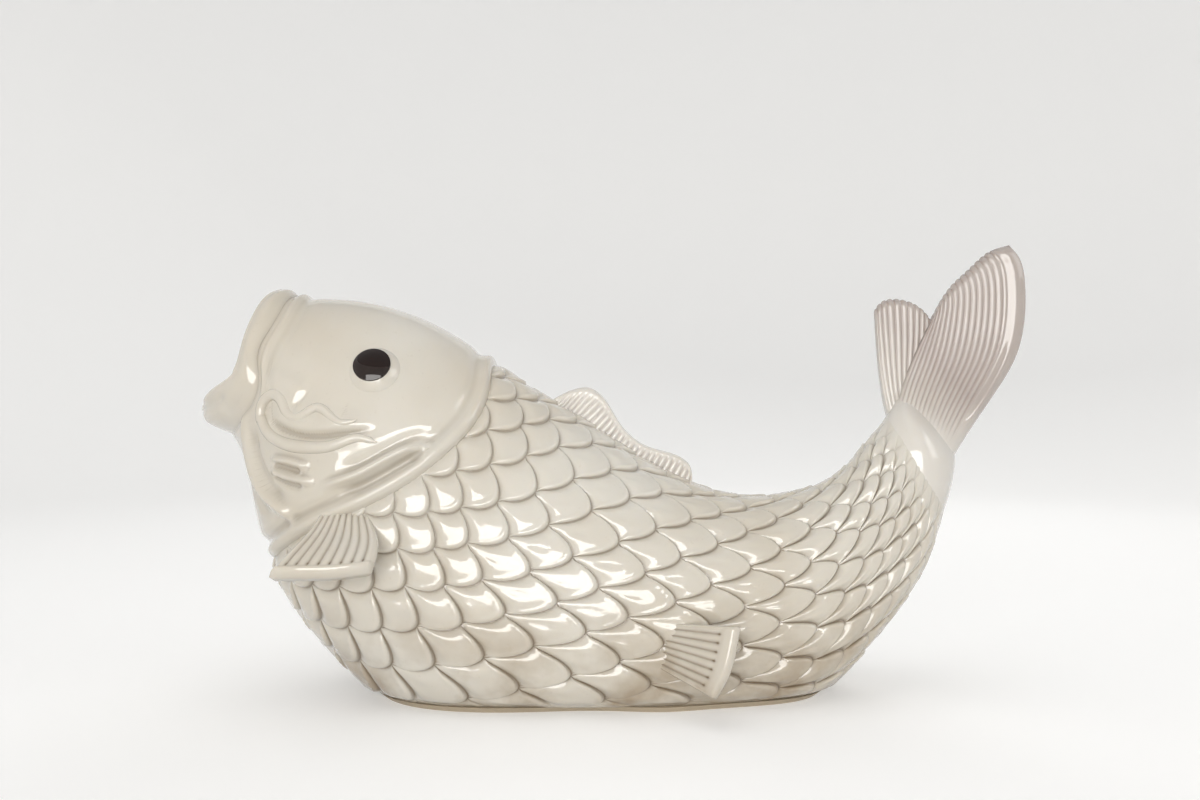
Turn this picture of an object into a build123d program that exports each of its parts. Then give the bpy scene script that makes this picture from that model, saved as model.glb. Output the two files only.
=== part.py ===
# Carp in glazed slip-cast stoneware, lying on a flat foot with its tail curled up.
# Millimetres, +Z up. The origin is on the standing surface, under the middle of the figure.
# The head points to -X and the tail to +X, so the fish's left side faces -Y.
from build123d import *
import math
import os

os.makedirs("parts", exist_ok=True)

# Overall size
figure_length = 550.0    # tip of the lower lip to the rear edge of the tail fin
figure_height = 296.0    # standing surface to the tip of the tail fin
body_width = 162.0       # widest place of the trunk, without the fins

# Casting
wall = 7.0
foot_height = 3.5
foot_ring_width = 14.0
foot_step = 0.8          # the foot ring stands this far over the trunk
head_step = 2.4          # the edge of the gill cover stands this far over the trunk
lip_step = 1.6           # the rolled mouth rim stands this far over the cheek

# Scales, in columns round the trunk that are staggered by half a scale
scales_around = 18
scale_rise = 1.8         # the free edge of a scale stands this far over the next one
fading_scale_columns = 3

# Eyes
eye_diameter = 31.0
eye_rise = 7.0
pupil_diameter = 23.0
pupil_rise = 0.9

# Barbels, modelled in relief on the cheeks
barbel_width = 6.5
barbel_rise = 3.6
whisker_width = 5.5
whisker_rise = 3.0

# Dorsal fin
dorsal_thickness = 9.0
dorsal_tip_thickness = 5.0
dorsal_ray_count = 21
dorsal_ray_depth = 1.2

# Tail fin
tail_thickness = 12.0
tail_tip_thickness = 7.0
tail_stem_widths = (26.0, 8.0)
tail_ray_depth = 1.6
upper_lobe_ray_count = 8
lower_lobe_ray_count = 11
lobe_stagger = 5.0       # the upper lobe stands this far behind the lower one, seen from the left

# Pectoral fins
pectoral_length = 47.0
pectoral_breadth = 57.0
pectoral_thickness = 7.5
pectoral_ray_count = 8
pectoral_ray_depth = 1.4

# Pelvic fins
pelvic_length = 44.0
pelvic_breadth = 44.0
pelvic_thickness = 8.0
pelvic_ray_count = 6
pelvic_ray_depth = 1.4

# One length past the form that cuts and roots reach
overrun = 60.0

# Sections of the body from the mouth to the stem of the tail. Each has the place of its top and of
# its underside, as shares of the length from the middle and of the height, and its half width as a
# share of the body's width. The last two numbers are how pear-shaped and how square it is.
body_section_shares = (
    (-0.4092, 0.9008, -0.5040, 0.6470, 0.190, 0.10, 2.10),
    (-0.4020, 0.8900, -0.4840, 0.6030, 0.222, 0.06, 2.10),
    (-0.3880, 0.8800, -0.4640, 0.5720, 0.256, 0.04, 2.10),
    (-0.3545, 0.8737, -0.4430, 0.5140, 0.305, 0.00, 2.10),
    (-0.3106, 0.8669, -0.4300, 0.4310, 0.364, -0.02, 2.15),
    (-0.2558, 0.8420, -0.4190, 0.3486, 0.412, -0.04, 2.20),
    (-0.2034, 0.7967, -0.4020, 0.2671, 0.450, -0.05, 2.20),
    (-0.1523, 0.7334, -0.3740, 0.1788, 0.476, -0.06, 2.20),
    (-0.1035, 0.6700, -0.3280, 0.0800, 0.492, -0.08, 2.20),
    (-0.0487, 0.6089, -0.2480, -0.0330, 0.500, -0.10, 2.25),
    (0.0122, 0.5342, -0.1157, -0.0679, 0.494, -0.10, 2.25),
    (0.0853, 0.4595, 0.0122, -0.0679, 0.464, -0.10, 2.25),
    (0.1584, 0.4233, 0.1340, -0.0588, 0.408, -0.08, 2.20),
    (0.2254, 0.4346, 0.2315, -0.0136, 0.346, -0.06, 2.20),
    (0.2741, 0.4731, 0.3009, 0.1041, 0.284, -0.04, 2.15),
    (0.3033, 0.5297, 0.3533, 0.2263, 0.228, -0.02, 2.10),
    (0.3228, 0.5840, 0.3910, 0.3622, 0.179, 0.00, 2.10),
    (0.3387, 0.6360, 0.4105, 0.4776, 0.136, 0.00, 2.00),
)
quarter_ring_steps = 4
head_last_section = 9
cavity_last_section = 15

# Where the free tips of each column of scales lie, from the first section to the last, and how far
# a scale's shoulders lie from its valleys towards its tip
scale_tip_shares = (
    0.1500, 0.1743, 0.1994, 0.2251, 0.2513, 0.2780, 0.3053, 0.3331, 0.3628, 0.3962, 0.4337, 0.4741, 0.5148,
    0.5556, 0.5965, 0.6376, 0.6788, 0.7199, 0.7589, 0.7954, 0.8295, 0.8613, 0.8906, 0.9177, 0.9427,
)
scale_shoulder_share = 0.74

# Side views, as shares of the length from the middle and of the height
mouth_edge_shares = (
    (-0.385, 0.930), (-0.398, 0.901), (-0.410, 0.880), (-0.4218, 0.836), (-0.4304, 0.786),
    (-0.4338, 0.758), (-0.4375, 0.729), (-0.4415, 0.711), (-0.4510, 0.697),
    (-0.4755, 0.676), (-0.4931, 0.654), (-0.503, 0.630), (-0.515, 0.595),
)
lip_groove_shares = (
    (-0.380, 0.915), (-0.387, 0.887), (-0.3915, 0.8405), (-0.399, 0.7986), (-0.4071, 0.7655),
    (-0.410, 0.737), (-0.4075, 0.703), (-0.408, 0.6665), (-0.420, 0.626), (-0.4617, 0.5635),
    (-0.480, 0.545),
)
gill_edge_shares = (
    (-0.140, 0.800), (-0.1445, 0.7324), (-0.1447, 0.6578), (-0.1549, 0.6024), (-0.1791, 0.5476),
    (-0.2222, 0.4811), (-0.2715, 0.4294), (-0.3564, 0.3530), (-0.4100, 0.2800), (-0.450, 0.225),
)
barbel_line_shares = (
    (-0.4000, 0.6176), (-0.3970, 0.6420), (-0.3830, 0.6580), (-0.3727, 0.6450), (-0.3640, 0.6180),
    (-0.3545, 0.6093), (-0.3307, 0.6304), (-0.3034, 0.6008), (-0.2841, 0.6050),
)
whisker_line_shares = (
    (-0.3920, 0.5860), (-0.3693, 0.5586), (-0.3375, 0.5502), (-0.3102, 0.5544), (-0.2830, 0.5692),
    (-0.2614, 0.5586),
)
dorsal_outline_shares = (
    (-0.0816, 0.640), (-0.0487, 0.6723), (-0.0305, 0.6745), (-0.0183, 0.6610), (0.0049, 0.5976),
    (0.0390, 0.5432), (0.0816, 0.5161), (0.0914, 0.4980), (0.0938, 0.4600),
)
dorsal_root_shares = ((0.0938, 0.400), (-0.0487, 0.540), (-0.100, 0.600))
dorsal_ray_root_shares = ((-0.0646, 0.6134), (-0.0183, 0.5455), (0.0305, 0.4934), (0.0828, 0.4527))
dorsal_ray_end_shares = ((-0.0305, 0.6473), (0.0085, 0.5772), (0.0451, 0.5274), (0.0877, 0.4957))
lower_lobe_shares = (
    (0.3320, 0.6000), (0.3533, 0.7040), (0.3849, 0.8352), (0.4130, 0.9122), (0.4458, 0.9688),
    (0.4726, 0.9982), (0.4885, 0.9869), (0.4982, 0.9303), (0.5000, 0.8511), (0.4946, 0.7832),
    (0.4617, 0.6610), (0.4312, 0.5772), (0.4120, 0.4980),
)
upper_lobe_shares = (
    (0.3340, 0.6000), (0.3230, 0.7492), (0.3180, 0.8465), (0.3265, 0.8692), (0.3484, 0.8760),
    (0.3764, 0.8533), (0.3873, 0.8301), (0.3900, 0.7300), (0.3700, 0.5600),
)
lower_ray_root_shares = ((0.3560, 0.6900), (0.3800, 0.6450), (0.4100, 0.6100))
lower_ray_end_shares = (
    (0.3898, 0.8465), (0.4142, 0.9009), (0.4385, 0.9461), (0.4592, 0.9733), (0.4787, 0.9597), (0.4860, 0.8737),
)
upper_ray_root_shares = ((0.3400, 0.6600), (0.3440, 0.6900), (0.3480, 0.7200))
upper_ray_end_shares = ((0.3290, 0.8560), (0.3430, 0.8640), (0.3600, 0.8550), (0.3700, 0.8300))
lower_slab_shares = ((0.3750, 0.5600), (0.4700, 0.9600))
upper_slab_shares = ((0.3560, 0.5600), (0.3560, 0.8700))
tail_stem_shares = (
    (0.3420, 0.6700, 0.4300, 0.5450),
    (0.3520, 0.7300, 0.4500, 0.6300),
)

# Fans of the paired fins: where the root meets the body, the directions of span and chord, and the
# outline, from the front of the root round to its rear, as shares of length and breadth
pectoral_root_shares = (-0.3110, 0.4155)
pectoral_span_shares = (0.054, -0.824, -0.564)
pectoral_chord_shares = (1.0, 0.06, 0.01)
pectoral_outline_shares = ((-0.45, -0.12), (1.03, -0.50), (1.06, 0.0), (0.93, 0.50), (-0.45, 0.36))
pectoral_ray_shares = ((0.18, -0.16), (0.18, 0.32), (0.97, -0.42), (0.97, 0.46))
pelvic_root_shares = (0.0509, 0.1486)
pelvic_span_shares = (0.78, -0.62, -0.09)
pelvic_chord_shares = (0.20, 0.11, 0.97)
pelvic_outline_shares = ((-0.40, 0.24), (1.08, 0.50), (1.06, 0.0), (0.90, -0.50), (-0.40, -0.24))
pelvic_ray_shares = ((0.10, -0.24), (0.10, 0.24), (0.96, -0.44), (0.96, 0.44))
eye_place_shares = (-0.2696, 0.7095)
pupil_lean_shares = (-0.10, 0.10)


def side_point(along_share, height_share):
    """A place in the middle plane of the fish."""
    return Vector(along_share * figure_length, 0, height_share * figure_height)


def side_curve(shares):
    """A smooth curve through places in the middle plane."""
    return Spline(*[side_point(along, height) for along, height in shares])


def ring_point(place, half_height, half_width, section, angle):
    """A place on a ring, at an angle from its top."""
    pear_share, squareness_share = section[5], section[6]
    up, out = math.cos(angle), math.sin(angle)
    up_part = abs(up / half_height) ** squareness_share
    out_part = abs(out / half_width) ** squareness_share
    radius = (up_part + out_part) ** (-1 / squareness_share)
    return place.from_local_coords(Vector(radius * up, radius * out * (1 + pear_share * up), 0))


def ring_frame(section, growth):
    """The plane of a ring, with x towards its top, and its half height and half width."""
    top = side_point(section[0], section[1])
    underside = side_point(section[2], section[3])
    rise = top - underside
    place = Plane(origin=(top + underside) / 2, x_dir=rise, z_dir=rise.cross(Vector(0, 1, 0)))
    return place, rise.length / 2 + growth, section[4] * body_width + growth


def body_ring(section, growth):
    """One closed ring round the body, growth millimetres outside the glazed surface."""
    place, half_height, half_width = ring_frame(section, growth)
    pear_share = section[5]
    outward_drift = place.y_dir * -pear_share
    tangents = [
        place.y_dir * (half_height * (1 + pear_share)),
        (outward_drift - place.x_dir) * half_width,
        place.y_dir * (half_height * (pear_share - 1)),
        (outward_drift + place.x_dir) * half_width,
    ]
    quarter_turn = math.pi / 2
    quarters = []
    for quarter in range(4):
        angles = [quarter_turn * (quarter + index / quarter_ring_steps) for index in range(quarter_ring_steps + 1)]
        points = [ring_point(place, half_height, half_width, section, angle) for angle in angles]
        ends = [tangents[quarter], tangents[(quarter + 1) % 4]]
        quarters.append(Edge.make_spline(points, tangents=ends, parameters=angles, scale=False))
    return Wire(quarters)


def body_form(first, last, growths):
    """A solid through the sections from first to last, each with its own growth."""
    sections = body_section_shares[first:last + 1]
    rings = [body_ring(section, growth) for section, growth in zip(sections, growths)]
    return Solid.make_loft(rings)


class Meridian:
    """A smooth line along the body at one angle from the tops of its rings."""

    def __init__(self, ring_places, angle, growth):
        self.places = ring_places
        self.points = [ring_point(*ring_frame(section, growth), section, angle) for section in body_section_shares]
        gaps = [end - start for start, end in zip(ring_places, ring_places[1:])]
        slopes = [(end - start) / gap for start, end, gap in zip(self.points, self.points[1:], gaps)]
        self.slopes = [slopes[0]]
        for before, after, gap_before, gap_after in zip(slopes, slopes[1:], gaps, gaps[1:]):
            self.slopes.append((before * gap_after + after * gap_before) / (gap_before + gap_after))
        self.slopes.append(slopes[-1])

    def at(self, place):
        """The point at a place between the first ring, 0, and the last, 1."""
        index = sum(place > mark for mark in self.places[1:-1])
        gap = self.places[index + 1] - self.places[index]
        share = (place - self.places[index]) / gap
        start, end = self.points[index:index + 2]
        start_slope, end_slope = self.slopes[index:index + 2]
        ease = share * share * (3 - 2 * share)
        bulge = start_slope * (1 - share) - end_slope * share
        return between(start, end, ease) + bulge * (gap * share * (1 - share))


def scaled_form():
    """The solid trunk under its scales. Each scale rises to a free edge with two shoulders and a tip."""
    centres = [ring_frame(section, 0)[0].origin for section in body_section_shares]
    distances = [0]
    for start, end in zip(centres, centres[1:]):
        distances.append(distances[-1] + (end - start).length)
    ring_places = [distance / distances[-1] for distance in distances]
    line_count = 4 * scales_around
    angles = [2 * math.pi * index / line_count for index in range(line_count)]
    low_lines = [Meridian(ring_places, angle, 0) for angle in angles]
    high_lines = [Meridian(ring_places, angle, scale_rise) for angle in angles]

    def low(place, line):
        return low_lines[line % line_count].at(place)

    def high(place, line, rise_share):
        return between(low(place, line), high_lines[line % line_count].at(place), rise_share)

    last_column = len(scale_tip_shares) - 1
    triangles = []
    for column in range(2, last_column + 1):
        neck, valley, tip = scale_tip_shares[column - 2:column + 1]
        notch = neck + (valley - neck) * scale_shoulder_share
        shoulder = valley + (tip - valley) * scale_shoulder_share
        rise_share = min((last_column - column) / fading_scale_columns, 1)
        for scale in range(scales_around):
            middle = 4 * scale + 2 * (column % 2)
            free_edge = [low(valley, middle - 2), high(shoulder, middle - 1, rise_share),
                         high(tip, middle, rise_share), high(shoulder, middle + 1, rise_share), low(valley, middle + 2)]
            covered_edge = [low(notch, middle + 1), low(neck, middle), low(notch, middle - 1)]
            rim = free_edge[3:] + covered_edge + free_edge[:2]
            triangles += [(free_edge[2], start, end) for start, end in zip(rim, rim[1:])]
            if rise_share > 0:
                foot = [low(shoulder, middle - 1), low(tip, middle), low(shoulder, middle + 1)]
                triangles += [(free_edge[0], free_edge[1], foot[0]), (free_edge[4], free_edge[3], foot[2])]
                for index in (0, 1):
                    triangles.append((free_edge[index + 1], foot[index], foot[index + 1]))
                    triangles.append((free_edge[index + 1], foot[index + 1], free_edge[index + 2]))

    def zigzag(first_tip, second_tip, column):
        """The ring of points along the valleys, shoulders and tips of a column."""
        shoulder = first_tip + (second_tip - first_tip) * scale_shoulder_share
        start = 2 * (column % 2)
        steps = (second_tip, shoulder, first_tip, shoulder)
        return [low(steps[index % 4], start + index) for index in range(line_count)]

    front = zigzag(scale_tip_shares[0], scale_tip_shares[1], 1)
    rear = zigzag(scale_tip_shares[-2], scale_tip_shares[-1], last_column)
    shift = 2 * (last_column % 2)
    stem_end = [low(1, shift + index) for index in range(line_count)]
    middle_front = sum(front, Vector()) / line_count
    for index in range(line_count):
        after = (index + 1) % line_count
        triangles.append((middle_front, front[index], front[after]))
        triangles.append((rear[index], rear[after], stem_end[index]))
        triangles.append((rear[after], stem_end[after], stem_end[index]))
    faces = [Face(Wire.make_polygon(corners)) for corners in triangles]
    faces.append(Face(Wire.make_polygon(stem_end)))
    return Solid(Shell(faces))


def side_prism(outline_face, near, far):
    """A face drawn in the middle plane, made solid from y = near to y = far."""
    start = outline_face.moved(Location((0, near, 0)))
    return extrude(start, amount=far - near, dir=(0, 1, 0))


def region_behind(curve_shares):
    """The space on the tail's side of a curve drawn in the side view."""
    curve = side_curve(curve_shares)
    start, end = curve @ 0, curve @ 1
    far_top = Vector(figure_length, 0, start.Z)
    far_bottom = Vector(figure_length, 0, end.Z)
    high = Vector(start.X, 0, figure_height + overrun)
    far_high = Vector(figure_length, 0, figure_height + overrun)
    low = Vector(end.X, 0, -overrun)
    far_low = Vector(figure_length, 0, -overrun)
    frame = Polyline(end, low, far_low, far_bottom, far_top, far_high, high, start)
    return side_prism(make_face([curve, frame]), -body_width, body_width)


def above(level):
    """The space above a level, as large as the figure."""
    block = Box(2 * figure_length, 2 * body_width, figure_height, align=(Align.CENTER, Align.CENTER, Align.MIN))
    return block.moved(Location((0, 0, level)))


def save(name, shape):
    shape.label = name
    export_step(shape, f"parts/{name}.step")


def save_pair(name, shape, *bodies):
    """A piece on the left flank and its mirror image on the right, each set against the bodies."""
    for side, piece in (("left_", shape), ("right_", shape.mirror(Plane.XZ))):
        for body in bodies:
            piece -= body
        save(side + name, piece)


def ray_groove(start, end, start_depth, end_depth, face_normal):
    """A V-shaped groove from start to end in the face of a fin, deeper towards its end."""
    direction = end - start
    profiles = []
    for point, depth in ((start, start_depth), (end, end_depth)):
        place = Plane(origin=point, x_dir=face_normal, z_dir=direction)
        profiles.append((place * RegularPolygon(depth, 4)).wire())
    return Solid.make_loft(profiles, ruled=True)


def between(first, second, share):
    """The place at a share of the way from first to second."""
    return first + (second - first) * share


def mid_plane_wedge(root, tip, root_thickness, tip_thickness):
    """A long slab over the middle plane that thins from root to tip, for the upright fins."""
    reach = tip - root
    place = Plane(origin=root, x_dir=reach, z_dir=reach.cross(Vector(0, 1, 0)))
    root_half, tip_half = root_thickness / 2, tip_thickness / 2
    near, far = -overrun, reach.length + overrun
    right_side = [(near, root_half), (0, root_half), (reach.length, tip_half), (far, tip_half)]
    left_side = [(along, -across) for along, across in reversed(right_side)]
    profile = Polyline(*right_side, *left_side, close=True)
    return extrude(place * make_face(profile), amount=figure_length / 2, both=True)


def surface_place(form, along_share, height_share):
    """The place on the fish's left side at a spot of the side view, and the outward normal there."""
    ray = Axis(side_point(along_share, height_share), (0, -1, 0))
    hits = [hit for face in form.faces() for hit in face.find_intersection_points(ray)]
    place, normal = min(hits, key=lambda hit: hit[0].Y)
    if normal.Y > 0:
        normal = -normal
    return place, normal


def eye_sphere(centre, radius):
    return Sphere(radius).moved(Location(centre))


def make_eye(form):
    """The domed eyeball and the darker pupil cap on it, both seated on the cheek."""
    place, normal = surface_place(form, *eye_place_shares)
    radius = ((eye_diameter / 2) ** 2 + eye_rise ** 2) / (2 * eye_rise)
    centre = place - normal * (radius - eye_rise)
    ball = eye_sphere(centre, radius)
    lean_along, lean_up = pupil_lean_shares
    gaze = (normal + Vector(lean_along, 0, lean_up)).normalized()
    pupil_core = Cylinder(pupil_diameter / 2, radius + eye_rise, align=(Align.CENTER, Align.CENTER, Align.MIN))
    pupil_core = Plane(origin=centre, z_dir=gaze) * pupil_core
    pupil = (eye_sphere(centre, radius + pupil_rise) & pupil_core) - ball
    return ball, pupil


def make_relief(line_shares, width, rise):
    """A raised cord of clay on the left cheek, following a line of the side view."""
    relief_growths = [growth + rise for growth in head_growths]
    raised_form = body_form(0, head_last_section, relief_growths)
    line = side_curve(line_shares)
    flat = Plane.XZ.to_local_coords(line)
    band = Plane.XZ * trace(flat, width)
    prism = extrude(band, amount=body_width)
    return raised_form & prism


def slab_half_thickness(place, root, tip, root_thickness, tip_thickness):
    """Half the thickness of an upright fin slab at a place in the middle plane."""
    reach = tip - root
    share = min(max((place - root).dot(reach) / reach.dot(reach), 0), 1)
    return (root_thickness + (tip_thickness - root_thickness) * share) / 2


def cut_rays(fin, slab, root_curve_shares, end_curve_shares, ray_count, depth):
    """The fin with ray grooves on both faces, spread from a root curve to an end curve."""
    roots, ends = side_curve(root_curve_shares), side_curve(end_curve_shares)
    for index in range(ray_count):
        share = index / (ray_count - 1)
        start, end = roots @ share, ends @ share
        for side in (Vector(0, -1, 0), Vector(0, 1, 0)):
            on_face = [place + side * slab_half_thickness(place, *slab) for place in (start, end)]
            fin -= ray_groove(*on_face, depth, depth, side)
    return fin


def make_dorsal_fin():
    outline = side_curve(dorsal_outline_shares)
    root = Polyline(outline @ 1, *[side_point(*share) for share in dorsal_root_shares], outline @ 0)
    prism = side_prism(make_face([outline, root]), -body_width / 2, body_width / 2)
    root_middle = between(side_point(*dorsal_outline_shares[0]), side_point(*dorsal_outline_shares[-1]), 0.5)
    tip_middle = side_point(*dorsal_outline_shares[4])
    slab = (root_middle, tip_middle, dorsal_thickness, dorsal_tip_thickness)
    fin = (prism & mid_plane_wedge(*slab)) - trunk_form
    return cut_rays(fin, slab, dorsal_ray_root_shares, dorsal_ray_end_shares, dorsal_ray_count, dorsal_ray_depth)


def tail_lobe(outline_shares, slab_shares, ray_root_shares, ray_end_shares, ray_count):
    """One lobe of the tail fin: an upright leaf, closed across its root, with fanned ray grooves."""
    outline = side_curve(outline_shares)
    leaf = side_prism(make_face([outline, Line(outline @ 1, outline @ 0)]), -body_width / 2, body_width / 2)
    root, tip = [side_point(*share) for share in slab_shares]
    slab = (root, tip, tail_thickness, tail_tip_thickness)
    lobe = leaf & mid_plane_wedge(*slab)
    return cut_rays(lobe, slab, ray_root_shares, ray_end_shares, ray_count, tail_ray_depth)


def make_tail_fin():
    """The two lobes, staggered and joined by the tapering stem that is luted to the trunk."""
    lower = tail_lobe(
        lower_lobe_shares, lower_slab_shares, lower_ray_root_shares, lower_ray_end_shares, lower_lobe_ray_count
    )
    upper = tail_lobe(
        upper_lobe_shares, upper_slab_shares, upper_ray_root_shares, upper_ray_end_shares, upper_lobe_ray_count
    )
    upper = upper.moved(Location((0, lobe_stagger, 0)))
    rings = [body_ring(body_section_shares[-1], 0)]
    for ring_shares, width in zip(tail_stem_shares, tail_stem_widths):
        rings.append(body_ring(ring_shares + (width / (2 * body_width), 0, 2), 0))
    stem = Solid.make_loft(rings) - plain_form
    return stem + (lower - trunk_form) + (upper - trunk_form)


def fan_fin(form, root_shares, span_shares, chord_shares, outline_shares, length, breadth, thickness,
            ray_count, ray_depth, ray_shares):
    """A fan-shaped fin standing off the fish's left side, grooved on its outer face."""
    root, _ = surface_place(form, *root_shares)
    span, chord = Vector(*span_shares), Vector(*chord_shares)
    place = Plane(origin=root, x_dir=span, z_dir=span.cross(chord))
    outline = [Vector(along * length, across * breadth, 0) for along, across in outline_shares]
    outer_edge = ThreePointArc(outline[1], outline[2], outline[3])
    sides = Polyline(outline[3], outline[4], outline[0], outline[1])
    plate = extrude(place * make_face([outer_edge, sides]), amount=-thickness)
    inner_low, inner_high, outer_low, outer_high = ray_shares
    for index in range(ray_count):
        share = (index + 0.5) / ray_count
        start = Vector(inner_low[0] * length, (inner_low[1] + (inner_high[1] - inner_low[1]) * share) * breadth, 0)
        end = Vector(outer_low[0] * length, (outer_low[1] + (outer_high[1] - outer_low[1]) * share) * breadth, 0)
        start, end = place.from_local_coords(start), place.from_local_coords(end)
        plate -= ray_groove(start, end, ray_depth / 2, ray_depth, place.z_dir)
    return plate


# Body: mouth rim, head and trunk are one hollow form, parted at the lip groove and the gill edge
head_growths = [head_step * index / head_last_section for index in range(head_last_section + 1)]
head_form = body_form(0, head_last_section, head_growths)
lip_form = body_form(0, head_last_section, [growth + lip_step for growth in head_growths])
plain_form = body_form(0, len(body_section_shares) - 1, [0] * len(body_section_shares))
cavity_form = body_form(0, cavity_last_section, [-wall] * (cavity_last_section + 1))
cavity_form = cavity_form & above(foot_height + wall)

behind_mouth = region_behind(mouth_edge_shares)
behind_groove = region_behind(lip_groove_shares)
behind_gill = region_behind(gill_edge_shares)

head = (head_form & behind_groove) - behind_gill - cavity_form
trunk_form = scaled_form()
trunk = (trunk_form & behind_gill & above(foot_height)) - cavity_form
mouth_rim = (lip_form & behind_mouth) - behind_groove - cavity_form
save("mouth_rim", mouth_rim)
save("head", head)
save("trunk", trunk)

# Foot: a low ring under the trunk, a little proud of it
foot_form = body_form(0, len(body_section_shares) - 1, [foot_step] * len(body_section_shares))
foot_plate = (foot_form & above(0)) - above(foot_height)
foot_box = foot_plate.bounding_box()
hole_half_length = foot_box.size.X / 2 - foot_ring_width
hole_half_width = foot_box.size.Y / 2 - foot_ring_width
hole_middle = Location((foot_box.center().X, foot_box.center().Y, 0))
foot_hole = extrude(hole_middle * Ellipse(hole_half_length, hole_half_width), amount=foot_height)
foot_ring = foot_plate - foot_hole
save("foot_ring", foot_ring)

# Eyes, barbels and paired fins
eye, pupil = make_eye(head_form)
save_pair("eye", eye, head_form)
save_pair("pupil", pupil, head_form)
save_pair("barbel", make_relief(barbel_line_shares, barbel_width, barbel_rise), head_form)
save_pair("whisker", make_relief(whisker_line_shares, whisker_width, whisker_rise), head_form)
pectoral_fin = fan_fin(
    head_form, pectoral_root_shares, pectoral_span_shares, pectoral_chord_shares, pectoral_outline_shares,
    pectoral_length, pectoral_breadth, pectoral_thickness, pectoral_ray_count, pectoral_ray_depth,
    pectoral_ray_shares,
)
save_pair("pectoral_fin", pectoral_fin, head_form, trunk_form)
pelvic_fin = fan_fin(
    plain_form, pelvic_root_shares, pelvic_span_shares, pelvic_chord_shares, pelvic_outline_shares,
    pelvic_length, pelvic_breadth, pelvic_thickness, pelvic_ray_count, pelvic_ray_depth, pelvic_ray_shares,
)
save_pair("pelvic_fin", pelvic_fin, trunk_form)

# Upright fins
save("dorsal_fin", make_dorsal_fin())
save("tail_fin", make_tail_fin())
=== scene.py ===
"""A gloss-glazed ceramic carp with an open mouth and an upturned tail, dressed around its plain solids.

Lengths are in millimetres until a mesh is made, and +Z is up. The fish's head points to -X and its
left side faces the camera at -Y. A place in the side view is given as shares of the figure's length
from the middle and of its height.
"""
import bmesh
import bpy
import math
import numpy as np
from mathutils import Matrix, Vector
from mathutils.bvhtree import BVHTree


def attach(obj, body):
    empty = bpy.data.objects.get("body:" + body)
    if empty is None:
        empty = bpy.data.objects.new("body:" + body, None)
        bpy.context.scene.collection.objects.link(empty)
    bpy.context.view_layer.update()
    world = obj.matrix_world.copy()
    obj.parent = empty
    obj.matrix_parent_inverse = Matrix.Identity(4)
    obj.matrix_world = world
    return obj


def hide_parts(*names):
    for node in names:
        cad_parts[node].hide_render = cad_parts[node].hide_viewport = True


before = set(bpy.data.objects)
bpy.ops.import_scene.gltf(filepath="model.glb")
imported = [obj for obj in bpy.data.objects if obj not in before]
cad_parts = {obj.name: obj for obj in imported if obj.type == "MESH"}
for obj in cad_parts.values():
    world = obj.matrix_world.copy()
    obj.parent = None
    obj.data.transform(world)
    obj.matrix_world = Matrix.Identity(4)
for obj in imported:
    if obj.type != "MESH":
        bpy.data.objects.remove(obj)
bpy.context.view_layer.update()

MM = 0.001
figure_length = 550.0
figure_height = 296.0
body_width = 162.0
wall = 7.0
foot_height = 3.5
head_step = 2.4
lip_step = 1.6
trunk_skin = 5.6
head_last_section = 9
cavity_last_section = 15

# Camera: level, in front of the fish's left side
camera_place = (-10.05, -723.6, 191.6)
camera_lens = 32.4

# Sections of the body, as in the solids: top, underside, half width, pear shape, squareness
body_section_shares = np.array((
    (-0.4092, 0.9008, -0.5040, 0.6470, 0.190, 0.10, 2.10),
    (-0.4020, 0.8900, -0.4840, 0.6030, 0.222, 0.06, 2.10),
    (-0.3880, 0.8800, -0.4640, 0.5720, 0.256, 0.04, 2.10),
    (-0.3545, 0.8737, -0.4430, 0.5140, 0.305, 0.00, 2.10),
    (-0.3106, 0.8669, -0.4300, 0.4310, 0.364, -0.02, 2.15),
    (-0.2558, 0.8420, -0.4190, 0.3486, 0.412, -0.04, 2.20),
    (-0.2034, 0.7967, -0.4020, 0.2671, 0.450, -0.05, 2.20),
    (-0.1523, 0.7334, -0.3740, 0.1788, 0.476, -0.06, 2.20),
    (-0.1035, 0.6700, -0.3280, 0.0800, 0.492, -0.08, 2.20),
    (-0.0487, 0.6089, -0.2480, -0.0330, 0.500, -0.10, 2.25),
    (0.0122, 0.5342, -0.1157, -0.0679, 0.494, -0.10, 2.25),
    (0.0853, 0.4595, 0.0122, -0.0679, 0.464, -0.10, 2.25),
    (0.1584, 0.4233, 0.1340, -0.0588, 0.408, -0.08, 2.20),
    (0.2254, 0.4346, 0.2315, -0.0136, 0.346, -0.06, 2.20),
    (0.2741, 0.4731, 0.3009, 0.1041, 0.284, -0.04, 2.15),
    (0.3033, 0.5297, 0.3533, 0.2263, 0.228, -0.02, 2.10),
    (0.3228, 0.5840, 0.3910, 0.3622, 0.179, 0.00, 2.10),
    (0.3387, 0.6360, 0.4105, 0.4776, 0.136, 0.00, 2.00),
))

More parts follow.
